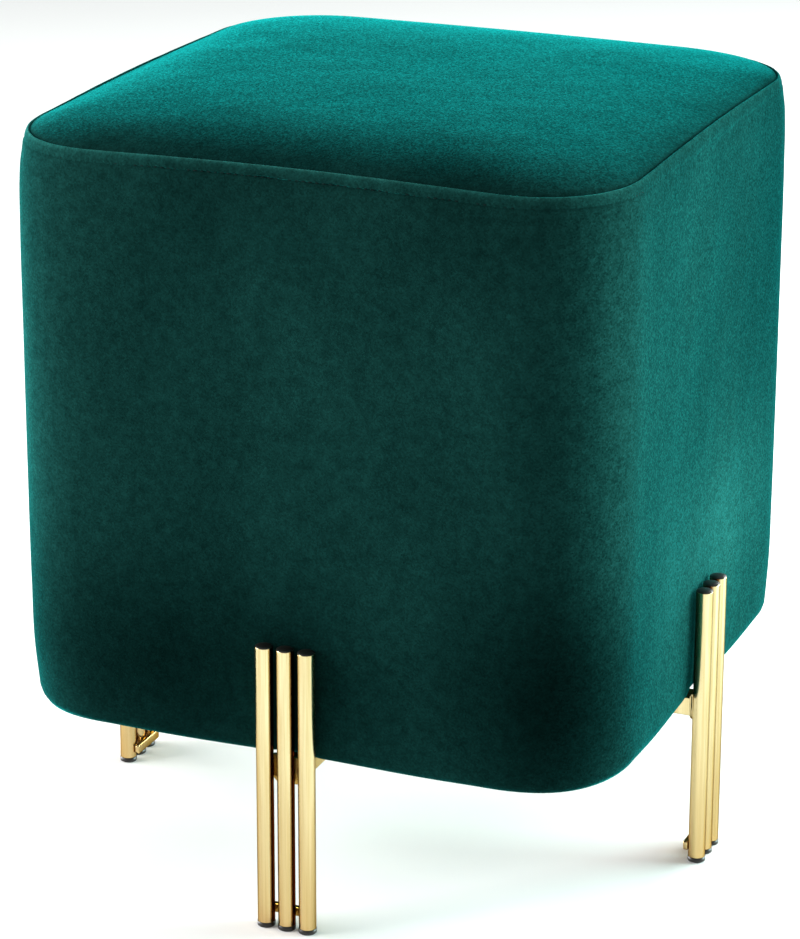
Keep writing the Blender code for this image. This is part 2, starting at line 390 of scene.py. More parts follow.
def polished_brass():
    """Brass plating on drawn steel tube, polished along its length: warm and bright, with faint drawn lines,
    and painted shade: browner near the floor, and darker brown on the flanks that face a neighbouring tube."""
    made, tree = new_material("polished brass plating")
    place = add_node(tree, "ShaderNodeTexCoord").outputs["Object"]
    drawn = add_node(tree, "ShaderNodeMapping", {"Vector": place, "Scale": DRAWN_OUT})
    lines = add_node(
        tree,
        "ShaderNodeTexNoise",
        {"Vector": drawn.outputs["Vector"], "Scale": 1 / DRAWN_LINE, "Detail": 2.0, "Roughness": 0.5},
    )
    streaks = add_node(
        tree,
        "ShaderNodeTexNoise",
        {"Vector": drawn.outputs["Vector"], "Scale": 1 / STREAK, "Detail": 2.0, "Roughness": 0.7},
    )
    clouds = add_node(
        tree, "ShaderNodeTexNoise", {"Vector": place, "Scale": 1 / CLOUD, "Detail": 3.0, "Roughness": 0.55}
    )
    streaked = add_node(
        tree, "ShaderNodeMapRange", {"Value": streaks.outputs["Fac"], "From Min": 0.36, "From Max": 0.60}
    )
    tint = add_node(
        tree,
        "ShaderNodeMix",
        {"Factor": streaked.outputs["Result"], "A": linear("D7C18B"), "B": linear("ECDCAC")},
        data_type="RGBA",
    )
    # Painted shade: below a set height the colour turns browner towards the floor.
    height = add_node(tree, "ShaderNodeSeparateXYZ", {"Vector": place})
    low = add_node(
        tree,
        "ShaderNodeMapRange",
        {"Value": height.outputs["Z"], "From Min": LOW_PAINTED_SHADE_HEIGHT, "From Max": 0.0, "To Max": 0.7},
    )
    painted_low_shade = add_node(
        tree,
        "ShaderNodeMix",
        {"Factor": low.outputs["Result"], "A": tint.outputs["Result"], "B": linear("C8A062")},
        data_type="RGBA",
    )
    # Painted shade: darker brown on the flanks that face a neighbouring tube.
    flank_shade = add_node(tree, "ShaderNodeAttribute", attribute_name="painted_flank_shade")
    colour = add_node(
        tree,
        "ShaderNodeMix",
        {"Factor": flank_shade.outputs["Fac"], "A": painted_low_shade.outputs["Result"], "B": linear("6E4626")},
        data_type="RGBA",
    )
    polish = add_node(
        tree,
        "ShaderNodeMapRange",
        {"Value": clouds.outputs["Fac"], **NOISE_SPAN, "To Min": 0.18, "To Max": 0.25},
    )
    grain = add_node(
        tree, "ShaderNodeBump", {"Height": lines.outputs["Fac"], "Strength": 0.25, "Distance": FINE_RELIEF}
    )
    shader = add_node(
        tree,
        "ShaderNodeBsdfPrincipled",
        {
            "Base Color": colour.outputs["Result"],
            "Metallic": 1.0,
            "Specular Tint": linear("6A4620"),
            "Roughness": polish.outputs["Result"],
            "Normal": grain.outputs["Normal"],
        },
    )
    add_node(tree, "ShaderNodeOutputMaterial", {"Surface": shader.outputs["BSDF"]})
    return made


def moulded_plastic():
    """Black polyethylene, injection moulded: satin, with a fine even texture that softens its shine."""
    made, tree = new_material("moulded black polyethylene")
    place = add_node(tree, "ShaderNodeTexCoord").outputs["Object"]
    spark = add_node(
        tree,
        "ShaderNodeTexNoise",
        {"Vector": place, "Scale": 1 / PLASTIC_GRAIN, "Detail": 2.0, "Roughness": 0.6},
    )
    tint = add_node(
        tree,
        "ShaderNodeMix",
        {"Factor": spark.outputs["Fac"], "A": linear("0A0807"), "B": linear("1A1512")},
        data_type="RGBA",
    )
    dulled = add_node(
        tree, "ShaderNodeMapRange", {"Value": spark.outputs["Fac"], "To Min": 0.28, "To Max": 0.46}
    )
    texture = add_node(
        tree, "ShaderNodeBump", {"Height": spark.outputs["Fac"], "Strength": 0.2, "Distance": FINE_RELIEF}
    )
    shader = add_node(
        tree,
        "ShaderNodeBsdfPrincipled",
        {
            "Base Color": tint.outputs["Result"],
            "Roughness": dulled.outputs["Result"],
            "IOR": 1.51,
            "Normal": texture.outputs["Normal"],
        },
    )
    add_node(tree, "ShaderNodeOutputMaterial", {"Surface": shader.outputs["BSDF"]})
    return made


def spun_thread():
    """Polyester sewing thread, spun from fibres and dyed to match: a soft shine broken by its twist."""
    made, tree = new_material("spun polyester thread")
    place = add_node(tree, "ShaderNodeTexCoord").outputs["Object"]
    twist = add_node(
        tree,
        "ShaderNodeTexNoise",
        {"Vector": place, "Scale": 1 / THREAD_TWIST, "Detail": 1.0, "Roughness": 0.5},
    )
    tint = add_node(
        tree,
        "ShaderNodeMix",
        {"Factor": twist.outputs["Fac"], "A": linear("010A09"), "B": linear("041C1A")},
        data_type="RGBA",
    )
    shader = add_node(
        tree,
        "ShaderNodeBsdfPrincipled",
        {"Base Color": tint.outputs["Result"], "Roughness": 0.8, "Specular IOR Level": 0.1},
    )
    add_node(tree, "ShaderNodeOutputMaterial", {"Surface": shader.outputs["BSDF"]})
    return made


def painted_floor():
    """White wall paint, rolled on: an even matt ground."""
    made, tree = new_material("rolled white paint")
    place = add_node(tree, "ShaderNodeTexCoord").outputs["Object"]
    roller = add_node(
        tree,
        "ShaderNodeTexNoise",
        {"Vector": place, "Scale": 1 / ROLLER_MARK, "Detail": 2.0, "Roughness": 0.5},
    )
    tint = add_node(
        tree,
        "ShaderNodeMix",
        {"Factor": roller.outputs["Fac"], "A": linear("F9F9F8"), "B": linear("FDFDFC")},
        data_type="RGBA",
    )
    shader = add_node(
        tree,
        "ShaderNodeBsdfPrincipled",
        {"Base Color": tint.outputs["Result"], "Roughness": 0.9, "Specular IOR Level": 0.1},
    )
    add_node(tree, "ShaderNodeOutputMaterial", {"Surface": shader.outputs["BSDF"]})
    return made


# ---------------------------------------------------------------- surfaces


def grid_faces(rows, columns, closed_rows):
    """Quads of a grid whose columns close round, and whose rows close too if said."""
    row = np.arange(rows if closed_rows else rows - 1)[:, None]
    column = np.arange(columns)[None, :]
    up, on = (row + 1) % rows, (column + 1) % columns
    corners = [row * columns + column, row * columns + on, up * columns + on, up * columns + column]
    return np.stack(np.broadcast_arrays(*corners), axis=-1).reshape(-1, 4)


def fan_faces(ring, pole):
    """Triangles from a ring of point numbers to one pole."""
    return np.column_stack([ring, np.roll(ring, -1), np.full(len(ring), pole)])


def enclosed(points, faces):
    """Six times the signed volume that the faces close: the sum of a . (b x c) over their triangles."""
    total = 0.0
    for group in faces:
        a, b, c = points[group[:, 0]], points[group[:, 1]], points[group[:, 2]]
        total += np.einsum("ij,ij->", a, np.cross(b, c))
        if group.shape[1] == 4:
            d = points[group[:, 3]]
            total += np.einsum("ij,ij->", a, np.cross(c, d))
    return total


def add_surface(name, points, finish, closed_rows=False):
    """A closed piece from a grid of rows by columns: its columns close round, and its first and last rows are
    closed by a fan to their middle unless the rows close too."""
    rows, columns, _ = points.shape
    flat = points.reshape(-1, 3)
    faces = [grid_faces(rows, columns, closed_rows)]
    if not closed_rows:
        flat = np.vstack([flat, points[0].mean(axis=0), points[-1].mean(axis=0)])
        faces.append(fan_faces(np.arange(columns)[::-1], rows * columns))
        faces.append(fan_faces(np.arange(columns) + (rows - 1) * columns, rows * columns + 1))
    return add_mesh(name, flat, faces, finish)


def add_mesh(name, points, faces, finish):
    """A mesh object of the points and groups of faces, all turned over if they enclose less than 0."""
    if enclosed(points, faces) < 0:
        faces = [group[:, ::-1] for group in faces]
    mesh = bpy.data.meshes.new(name)
    mesh.from_pydata(points.tolist(), [], [face for group in faces for face in group.tolist()])
    mesh.shade_smooth()
    if finish is not None:
        mesh.materials.append(finish)
    return new_object(name, mesh)


def mesh_points(mesh):
    """The mesh's points as rows of x, y and z."""
    points = np.empty(len(mesh.vertices) * 3)
    mesh.vertices.foreach_get("co", points)
    return points.reshape(-1, 3)


def mark_points(mesh, name, values):
    """Writes a value for each point, which a material reads by its name."""
    mesh.attributes.new(name, "FLOAT", "POINT").data.foreach_set("value", values)


# ---------------------------------------------------------------- velvet cube


def smooth_through(at, x, y):
    """A curve through the points (x, y): between two of them a cubic, whose slope at each is the mean slope
    there."""
    slope = np.gradient(y, x)
    i = np.clip(np.searchsorted(x, at) - 1, 0, len(x) - 2)
    gap = x[i + 1] - x[i]
    t = (at - x[i]) / gap
    start = (2 * t**3 - 3 * t**2 + 1) * y[i] + (t**3 - 2 * t**2 + t) * gap * slope[i]
    return start + (3 * t**2 - 2 * t**3) * y[i + 1] + (t**3 - t**2) * gap * slope[i + 1]


def cube_section():
    """The cube's section from the middle of its top to the middle of its base: the length along it at each
    point, the points as rows of half width, draw, corner radius, height, share of the seam's arch and share
    of the lower edge's sag, and the seam's place along it."""
    # Panel, from the middle out: an eased crown, then the roll down into the seam, a quarter of an ellipse.
    crown = PANEL_HIGH - SEAM_HEIGHT
    inner = np.linspace(SEAM_HALF, CROWN_EDGE, CROWN_STEPS)
    inset = np.concatenate([inner, np.linspace(CROWN_EDGE, ROLL_DEPTH, CROWN_EDGE_STEPS)[1:]])
    ease = 1 - np.exp(-(inset - ROLL_DEPTH) / CROWN_EASE)
    turn = np.linspace(np.pi / 2, 0, ARC_STEPS)[1:]
    inset = np.concatenate([inset, ROLL_DEPTH * (1 - np.cos(turn))])
    rise = np.concatenate([ROLL_SHARE + (1 - ROLL_SHARE) * ease, ROLL_SHARE * np.sin(turn)]) * crown
    half = SEAM_HALF - inset
    at_seam = SEAM_CORNER / SEAM_HALF
    round_share = at_seam + (1 - at_seam) * (inset / SEAM_HALF) ** CROWN_ROUNDING
    kept = PANEL_ARCH * (half / SEAM_HALF) ** 4 + (1 - PANEL_ARCH) * np.exp(-inset / ROLL_DEPTH)
    panel = np.column_stack([half, 0 * half, half * round_share, SEAM_HEIGHT + rise, kept, 0 * half])
    # Band, from the seam down, through its table.
    below, width, draw, corner = np.array(BAND_ROWS).T
    at = np.linspace(0, below[-1], BAND_STEPS)
    wide, drawn, rounded = (smooth_through(at, below, column) for column in (width, draw, corner))
    arched = np.exp(-((at / ARCH_REACH) ** 2))
    sagged = np.clip(1 - (at[-1] - at) / SAG_REACH, 0, 1) ** 2
    band = np.column_stack([wide, drawn, rounded, SEAM_HEIGHT - at, arched, sagged])
    # Lower edge: a quarter circle, then the flat base in to the middle.
    turn = np.linspace(0, np.pi / 2, ARC_STEPS)[1:]
    inset = BASE_ROUND * (1 - np.cos(turn))
    edge_height = BAND_LOW + BASE_ROUND * (1 - np.sin(turn))
    same = np.ones(len(inset))
    edge = np.column_stack(
        [wide[-1] - inset, drawn[-1] * same, rounded[-1] - inset, edge_height, 0 * same, same]
    )
    share = np.linspace(1, 0, BASE_STEPS)[1:, None]
    base = edge[-1] * np.array([1, 1, 1, 0, 0, 0]) * share + np.array([0, 0, 0, BAND_LOW, 0, 0])
    base[:, 5:] = np.exp(-(((1 - share) * edge[-1, 0] / SAG_DEPTH) ** 2))
    section = np.vstack([panel, band[1:], edge, base])
    steps = np.hypot(np.diff(section[:, 0]), np.diff(section[:, 3]))
    length = np.concatenate([[0], np.cumsum(steps)])
    return length, section, length[len(panel) - 1]


SECTION_LENGTH, SECTION, SEAM_AT = cube_section()
WAY_ROUND = 8 * (SEAM_HALF - SEAM_CORNER) + 2 * np.pi * SEAM_CORNER


def place_in_quarter(turns):
    """For a share of the way round: its quarter, whether it is on that quarter's side, t from -1 to 1 along
    that side, and the angle round the corner that follows."""
    quarter = np.floor(turns * 4)
    part = turns * 4 - quarter
    t = np.clip(part / SIDE_SHARE * 2 - 1, -1, 1)
    angle = np.clip((part - SIDE_SHARE) / (1 - SIDE_SHARE), 0, 1) * np.pi / 2
    return quarter, part < SIDE_SHARE, t, angle


def rounded_square(turns, half, draw, corner):
    """x and y at a share of the way round: four sides, each half - draw (1 - t^2)^2 from the middle, joined
    by quarter circles."""
    quarter, on_side, t, angle = place_in_quarter(turns)
    out = np.where(on_side, half - draw * (1 - t**2) ** 2, half - corner + corner * np.cos(angle))
    along = np.where(on_side, (half - corner) * t, half - corner + corner * np.sin(angle))
    c, s = np.cos(quarter * np.pi / 2), np.sin(quarter * np.pi / 2)
    return out * c - along * s, out * s + along * c


def side_wave(turns):
    """A cosine round the cube: 1 at the middle of each side and -1 at each corner."""
    return np.cos(2 * np.pi * (turns * 4 - SIDE_SHARE / 2))


def seam_arch(turns):
    """The seam's height above its mean plane: highest at mid side, lowest at the corners."""
    return ARCH_MEAN + ARCH_SWING * side_wave(turns)


def edge_sag(turns):
    """How far the lower edge sags: on a side (1 - t^4)^2 of its amount, which the bar at its middle cuts to
    nothing, and round a corner the square of the sine of twice the angle."""
    quarter, _, t, angle = place_in_quarter(turns)
    freed = 1 - np.exp(-((t * (SEAM_HALF - SEAM_CORNER) / SAG_BREAK) ** 4))
    of_side = np.array(SAG_OF_SIDES)[quarter.astype(int) % 4] * (1 - t**4) ** 2 * freed
    return of_side + SAG_OF_CORNERS * np.sin(2 * angle) ** 2


def cube_points(turns, lengths):
    """Points of the cube's skin at each length along its section (rows) and share of the way round (columns):
    the rounded square, averaged over a short stretch to each side, at the section's height."""
    half, draw, corner, height, arch, sag = (
        np.interp(lengths, SECTION_LENGTH, column)[:, None] for column in SECTION.T
    )
    offsets = np.array([-2, -1, 0, 1, 2]) / 2 * SOFTEN / WAY_ROUND
    weights = np.array([1, 4, 6, 4, 1]) / 16
    x = y = 0.0
    for offset, weight in zip(offsets, weights):
        at_x, at_y = rounded_square(turns[None, :] + offset, half, draw, corner)
        x, y = x + weight * at_x, y + weight * at_y
    z = height + arch * seam_arch(turns)[None, :] - sag * edge_sag(turns)[None, :]
    return np.stack(np.broadcast_arrays(x, y, z), axis=-1)


def grid_normals(points):
    """Outward unit normals of a grid whose columns close round: the cross product of its two directions."""
    along = np.gradient(points, axis=0)
    across = np.roll(points, -1, axis=1) - np.roll(points, 1, axis=1)
    return unit(np.cross(along, across))


def softness(turns, lengths):
    """How freely the cloth can swell: 1 at the middle of a side, and 0 over the frame's edges, on the firm
    padding of the top, at the seam and on the base."""
    side = 1 - np.exp(-((np.maximum(lengths - SEAM_AT, 0) / SOFT_UNDER_SEAM) ** 2))
    foot = np.clip((SECTION_LENGTH[-1] - TACKED - lengths) / SOFT_PAST_TACKS, 0, 1)
    return (side * foot)[:, None] * (0.5 + 0.5 * side_wave(turns))[None, :]


def fill_cube():
    """How far the filling pushes the cloth, on a coarse grid of the skin: cloth with air pressure inside it,
    sewn down at the seam, tacked to the base, and held softly by the frame and the padding."""
    columns = int(WAY_ROUND / SWELL_CELL) // 4 * 4
    turns = np.arange(columns) / columns
    end = SECTION_LENGTH[-1]
    lengths = np.linspace(SWELL_CELL, end - SWELL_CELL, int(end / SWELL_CELL))
    target = cube_points(turns, lengths)
    soft = softness(turns, lengths)
    start = target - grid_normals(target) * soft[:, :, None] * SWELL
    skin = add_surface("filling", start, None)
    held = skin.vertex_groups.new(name="held")
    sewn = (np.abs(lengths - SEAM_AT) < SEWN_REACH) | (lengths > end - TACKED)
    count = start.shape[0] * columns
    numbers = np.arange(count).reshape(start.shape[:2])
    level = np.round(soft * HOLD_STEPS)
    for step in range(HOLD_STEPS + 1):
        firm = HOLD_FRAME + (HOLD_PADDING - HOLD_FRAME) * step / HOLD_STEPS
        held.add(numbers[level == step].tolist(), firm, "REPLACE")
    held.add(numbers[sewn].ravel().tolist() + [count + 1], 1.0, "REPLACE")
    cloth = skin.modifiers.new("Filling", "CLOTH")
    cloth.settings.vertex_group_mass = "held"
    cloth.settings.use_pressure = True
    cloth.settings.uniform_pressure_force = SWELL_PRESSURE
    cloth.settings.effector_weights.gravity = 0.0
    cloth.point_cache.frame_start = 1
    cloth.point_cache.frame_end = SWELL_FRAMES
    scene = bpy.context.scene
    for number in range(1, SWELL_FRAMES + 1):
        scene.frame_set(number)
    done = skin.evaluated_get(bpy.context.evaluated_depsgraph_get()).data
    moved = np.empty(len(done.vertices) * 3, np.float32)
    done.vertices.foreach_get("co", moved)
    bpy.data.objects.remove(skin)
    scene.frame_set(1)
    push = moved.reshape(-1, 3)[:count].reshape(start.shape) - start
    size = np.linalg.norm(push, axis=2, keepdims=True)
    push *= np.minimum(1, SWELL_CAP / np.maximum(size, 1e-9))
    return turns, lengths, push


def push_at(filled, turns, lengths):
    """The filling's push at other places of the skin, straight between the coarse grid's points."""
    coarse_turns, coarse_lengths, push = filled
    columns, last = len(coarse_turns), len(coarse_lengths) - 1
    at = (turns * columns) % columns
    low = np.floor(at).astype(int) % columns
    part = (at - np.floor(at))[None, :, None]
    across = push[:, low] * (1 - part) + push[:, (low + 1) % columns] * part
    place = np.clip(np.interp(lengths, coarse_lengths, np.arange(last + 1)), 0, last)
    row = np.minimum(place.astype(int), last - 1)
    share = (place - row)[:, None, None]
    return across[row] * (1 - share) + across[row + 1] * share


def lumps(points):
    """Slow unevenness of padding under cloth: a sum of sine waves in space, between about -1 and 1."""
    random = np.random.default_rng(SEED)
    total = np.zeros(points.shape[:2])
    for wave in np.linspace(LUMP_SHORTEST, LUMP_LONGEST, LUMP_WAVES):
        direction = random.normal(size=3)
        direction /= np.linalg.norm(direction)
        total += np.sin(points @ direction * 2 * np.pi / wave + random.uniform(0, 2 * np.pi))
    return total / LUMP_WAVES**0.5


def paint_nap_and_light(piece, ridge_highlight=1.0):
    """Writes a factor on a piece's colour: e to the sum of soft round patches, some of them painted shade and
    light, and of a band of painted shade above the foot, times the seam ridge's painted highlight."""
    points = mesh_points(piece.data)
    total = PAINTED_FOOT_SHADE * np.exp(-(((points[:, 2] - FOOT_SHADE_AT) / FOOT_SHADE_REACH) ** 2))
    for place, across, high, strength in NAP_AND_LIGHT_PATCHES:
        away = (points - np.array(place)) / np.array([across, across, high])
        total += strength * np.exp(-(away**2).sum(axis=1))
    mark_points(piece.data, "nap", np.exp(total) * ridge_highlight)


def cube_skin(filled, turns, lengths):
    """The finished cloth: its start, the filling's push, and the padding's lumps where nothing holds it."""
    points = cube_points(turns, lengths)
    normals = grid_normals(points)
    soft = softness(turns, lengths)[:, :, None]
    lumped = normals * soft * lumps(points)[:, :, None] * LUMP
    return points - normals * soft * SWELL + push_at(filled, turns, lengths) + lumped


def velvet_cube(velvet):
    """The top panel and the side band, whose rows lie closer near the seam."""
    filled = fill_cube()
    turns = np.arange(CLOTH_COLUMNS) / CLOTH_COLUMNS
    share = np.linspace(PANEL_FIRST, 1, int(SEAM_AT / CLOTH_STEP))
    spacing = (1 - (1 - share) ** PANEL_CROWDING) * SEAM_AT
    panel = add_surface("velvet_panel", cube_skin(filled, turns, spacing), velvet)
    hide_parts("top_panel")
    near = SEAM_AT + np.linspace(0, NEAR_SEAM, NEAR_SEAM_ROWS)
    first, last = SECTION_LENGTH[-1] - BASE_FIRST, SECTION_LENGTH[-1] - BASE_LAST
    far = np.linspace(near[-1], first, int((first - near[-1]) / CLOTH_STEP))[1:]
    base = np.linspace(first, last, BASE_ROWS)[1:]
    band = add_surface("velvet_band", cube_skin(filled, turns, np.concatenate([near, far, base])), velvet)
    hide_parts("side_band")
    for piece in (panel, band):
        paint_nap_and_light(piece)
        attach(piece, "root")


def around(profile, steps):
    """Even steps along a smooth closed curve through the profile's points."""
    points = np.vstack([profile, profile[:1]])
    gone = np.concatenate([[0], np.cumsum(np.linalg.norm(np.diff(points, axis=0), axis=1))])
    wrapped = np.concatenate([gone[-3:-1] - gone[-1], gone, gone[1:3] + gone[-1]])
    at = np.arange(steps) / steps * gone[-1]
    columns = [np.concatenate([c[-3:-1], c, c[1:3]]) for c in points.T]
    return np.column_stack([smooth_through(at, wrapped, column) for column in columns])


def seam_path(turns):
    """The seam's points, level outward directions and directions along it, at shares of the way round."""
    line = cube_points(turns, np.array([SEAM_AT]))[0]
    tangent = unit(np.roll(line, -1, axis=0) - np.roll(line, 1, axis=0))
    outward = unit(np.column_stack([tangent[:, 1], -tangent[:, 0], np.zeros(len(line))]))
    return line, outward, tangent


def uneven(turns):
    """A smooth random line round the seam: a sum of sine waves, between about -1 and 1."""
    phases = np.random.default_rng(SEED).uniform(0, 2 * np.pi, len(WANDER_WAVES))
    total = sum(np.sin(2 * np.pi * wave * turns + phase) for wave, phase in zip(WANDER_WAVES, phases))
    return total / len(WANDER_WAVES) ** 0.5


def seam_roll(velvet):
    """The roll's section carried round the seam, creased at the front and back and smooth at the sides. Each
    stitch pulls its lower edge in, by a cosine along the seam."""
    turns = np.arange(SEAM_COLUMNS) / SEAM_COLUMNS
    line, outward, _ = seam_path(turns)
    table = np.array(SEAM_ROLL)
    creased = around(table[:, :2], SEAM_ROLL_STEPS)[:, None]
    smooth = around(table[:, 2:], SEAM_ROLL_STEPS)[:, None]
    crease = (0.5 + 0.5 * np.cos(4 * np.pi * (turns - FRONT_TURN)))[None, :, None]
    section = smooth + (creased - smooth) * crease
    stitches = round(WAY_ROUND / STITCH_PITCH)
    low = np.clip(-section[:, :, 1] / SEAM_ROLL_TALL, 0, 1) ** 2
    pull = (0.5 - 0.5 * np.cos(2 * np.pi * stitches * turns))[None, :]
    wander = uneven(turns)[None, :]
    out = section[:, :, 0] - low * crease[:, :, 0] * (PULLED_IN * (1 - pull)) + WANDER_OUT * wander
    up = section[:, :, 1] + low * (PULLED_UP * pull - WANDER_UP * wander)
    points = line[None] + outward[None] * out[:, :, None] + np.array([0, 0, 1]) * up[:, :, None]
    roll = add_surface("seam_roll", points, velvet, closed_rows=True)
    depth = table[:, 1].max() - up
    # Painted highlight along the roll's ridge and painted light down the roll, weaker where it lies smooth,
    # as a factor on its colour.
    ridge = RIDGE_PAINTED_LIGHT * np.exp(-np.maximum(depth, 0) / RIDGE_FADE)
    ridge_highlight = ridge + LIP_PAINTED_LIGHT * np.exp(-depth / LIP_FADE)
    paint_nap_and_light(roll, 1 + (ridge_highlight * (SMOOTH_LIGHT_SHARE + (1 - SMOOTH_LIGHT_SHARE) * crease[:, :, 0])).ravel())
    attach(roll, "root")


def capsules(centres, directions, radius, reach):
    """Round-ended rods as one mesh's points and faces, each a row of rings."""
    along, thick = np.array(STITCH_RINGS).T
    sides = STITCH_SIDES
    angle = np.arange(sides) / sides * 2 * np.pi
    across_all = np.array([0.31, 0.17, 0.93])  # no rod points this way
    up = unit(np.cross(directions, across_all))
    side = np.cross(directions, up)
    ring = np.cos(angle)[None, :, None] * up[:, None] + np.sin(angle)[None, :, None] * side[:, None]
    points = (
        centres[:, None, None]
        + directions[:, None, None] * (along[None, :] * reach[:, None])[:, :, None, None]
        + ring[:, None] * (thick * radius)[None, :, None, None]
    )
    count, rows = len(centres), len(along)
    quads = grid_faces(rows, sides, False)
    first, last = np.arange(sides)[::-1], np.arange(sides) + (rows - 1) * sides
    shift = (np.arange(count) * rows * sides)[:, None, None]
    ends = np.stack([first, last])[None] + shift
    return points.reshape(-1, 3), [(quads[None] + shift).reshape(-1, 4), ends.reshape(-1, sides)]


def seam_stitches(thread):
    """A lockstitch's row of short threads in the crease below the roll."""
    count = round(WAY_ROUND / STITCH_PITCH)
    line, outward, tangent = seam_path(np.arange(count) / count)
    random = np.random.default_rng(SEED)
    sunk = random.uniform(-STITCH_SUNK, 0, count)[:, None]
    centres = line + outward * (STITCH_OUT + sunk) + np.array([0, 0, STITCH_UP])
    reach = STITCH_LENGTH / 2 * random.uniform(STITCH_SHORTEST, STITCH_LONGEST, count)
    points, faces = capsules(centres, tangent, STITCH_RADIUS, reach)
    row = add_mesh("seam_stitches", points, faces, thread)
    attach(row, "root")


# ---------------------------------------------------------------- legs


def circle(radius):
    """A circle's points and outward normals."""
    angle = np.arange(ROUND_STEPS) / ROUND_STEPS * 2 * np.pi
    normals = np.column_stack([np.cos(angle), np.sin(angle)])
    return normals * radius, normals


def rounded_outline(corners):
    """A convex outline, given counterclockwise, with each corner an arc: points and outward normals."""
    corners = np.array(corners, float)
    points, normals = [], []
    for before, corner, after in zip(np.roll(corners, 1, axis=0), corners, np.roll(corners, -1, axis=0)):
        come, go = corner - before, after - corner
        start = math.atan2(come[1], come[0]) - math.pi / 2
        bend = (math.atan2(go[1], go[0]) - math.atan2(come[1], come[0])) % (2 * math.pi)
        angle = start + np.linspace(0, bend, CORNER_STEPS)
        middle_angle = start + bend / 2
        reach = CORNER_ROUND / math.cos(bend / 2)
        arc_middle = corner - reach * np.array([math.cos(middle_angle), math.sin(middle_angle)])
        arc = np.column_stack([np.cos(angle), np.sin(angle)])
        points.append(arc_middle + arc * CORNER_ROUND)
        normals.append(arc)
    return np.vstack(points), np.vstack(normals)


def carried(outline, normals, rows):
    """A profile of (inset, height) rows carried round an outline: each point is the outline's, moved in along
    its normal by the inset and up to the height."""
    inset, height = np.array(rows, float).T
    flat = outline[None] - normals[None] * inset[:, None, None]
    return np.dstack([flat, np.broadcast_to(height[:, None], flat.shape[:2])])


def edge_rows(inset, height, radius, first, last):
    """Rows of an arc round an edge: from angle first to last, in quarter turns, round (inset, height)."""
    angle = np.linspace(first, last, EDGE_STEPS) * np.pi / 2
    return list(zip(inset - radius * np.cos(angle), height + radius * np.sin(angle)))


def tube_points(radius, low, high):
    """A tube's wall with rounded ends, its rows closing from the bore's foot back to the outside. A row near
    each end keeps the wall's shading straight."""
    r, wall = RIM_ROUND, TUBE_WALL
    rows = edge_rows(r, low + r, r, -1, 0) + [(0, low + 3 * r), (0, high - 3 * r)]
    rows += edge_rows(r, high - r, r, 0, 1) + edge_rows(wall - r, high - r, r, 1, 2)
    rows += [(wall, high - 3 * r), (wall, low + 3 * r)] + edge_rows(wall - r, low + r, r, 2, 3)
    return carried(*circle(radius), rows)


def cap_points(radius, near, far, dome):
    """A cap's head from the tube's end, at height near, to its own end, at height far, which a dome rounds
    off: part of an ellipse, whose radii are the dome's share of the cap's radius and of DOME_HEIGHT."""
    way = 1 if far > near else -1
    tall = abs(far - near)
    angle = np.linspace(0, DOME_TURN, DOME_STEPS) * np.pi / 2
    inset = radius * (1 - np.cos(angle)) * dome
    height = near + way * (tall - dome * DOME_HEIGHT) + way * dome * DOME_HEIGHT * np.sin(angle)
    rows = [(radius * CAP_NECK, near), (CAP_EDGE_IN, near), (0, near + way * CAP_EDGE_UP)]
    return carried(*circle(radius), rows + list(zip(inset, height)))


def flat_bar_points(corners, low, high):
    """A flat bar of an outline's shape between two heights, its edges rounded, with a row next to each."""
    edge = FACE_BEVEL
    rows = edge_rows(edge, low + edge, edge, -1, 0) + [(0, low + 2 * edge), (0, high - 2 * edge)]
    rows += edge_rows(edge, high - edge, edge, 0, 1)
    return carried(*rounded_outline(corners), rows)


def to_side(points, turns):
    """Points of the right leg turned round the stool by quarter turns."""
    c, s = round(math.cos(turns * math.pi / 2)), round(math.sin(turns * math.pi / 2))
    x, y, z = np.moveaxis(points, -1, 0)
    return np.stack([c * x - s * y, s * x + c * y, z], axis=-1)


def upright(points):
    """Turns a bar's own (across, up, thick) into the leg's X, Y and Z: thick goes along X."""
    across, up, thick = np.moveaxis(points, -1, 0)
    return np.stack([thick, across, up], axis=-1)


def middle(node):
    """The middle and the size of a node's box."""
    low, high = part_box(node)
    return (low + high) / 2, high - low


def leg_pieces(brass, plastic):
    """The right leg's pieces by name: points, whether the rows close, the finish and a slot name, which
    nothing reads.
    """
    pieces = {}
    for letter in "abc":
        centre, size = middle(f"tube_right_{letter}")
        axis = np.array([centre.x, centre.y, 0.0])
        low, high = centre.z - size.z / 2, centre.z + size.z / 2
        pieces[f"tube_SIDE_{letter}"] = (tube_points(size.x / 2, low, high) + axis, True, brass, "brass")
        cap_low, cap_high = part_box(f"top_cap_right_{letter}")
        radius = (cap_high.x - cap_low.x) / 2 - TOP_CAP_INSET
        top = cap_points(radius, high, cap_high.z - TOP_CAP_SUNK, TOP_DOME)
        pieces[f"top_cap_SIDE_{letter}"] = (top + axis, False, plastic, "black_plastic")
        foot_low, foot_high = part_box(f"foot_cap_right_{letter}")
        foot = cap_points((foot_high.x - foot_low.x) / 2, low, foot_low.z, FOOT_DOME)
        pieces[f"foot_cap_SIDE_{letter}"] = (foot + axis, False, plastic, "black_plastic")
    for name, cut in (("plate", PLATE_CUT), ("tie", 0.0)):
        low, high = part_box(f"{name}_right")
        corners = [(low.y + cut, low.z), (high.y - cut, low.z), (high.y, high.z), (low.y, high.z)]
        if cut:
            corners.insert(2, (high.y, low.z + cut))
            corners.append((low.y, low.z + cut))
        bar = upright(flat_bar_points(corners, low.x, high.x))
        pieces[f"{name}_SIDE"] = (bar, False, brass, "brass")
    return pieces


def paint_flank_shade(piece, axis, neighbours):
    """Writes painted shade on a tube at each point: by how squarely it faces a neighbour, smoothed."""
    out = unit(mesh_points(piece.data)[:, :2] - axis[:2])
    squarely = np.max([out @ towards[:2] for towards in neighbours], axis=0)
    start, end = FLANK_SHADE_SPAN
    t = np.clip((squarely - start) / (end - start), 0, 1)
    mark_points(piece.data, "painted_flank_shade", t * t * (3 - 2 * t))


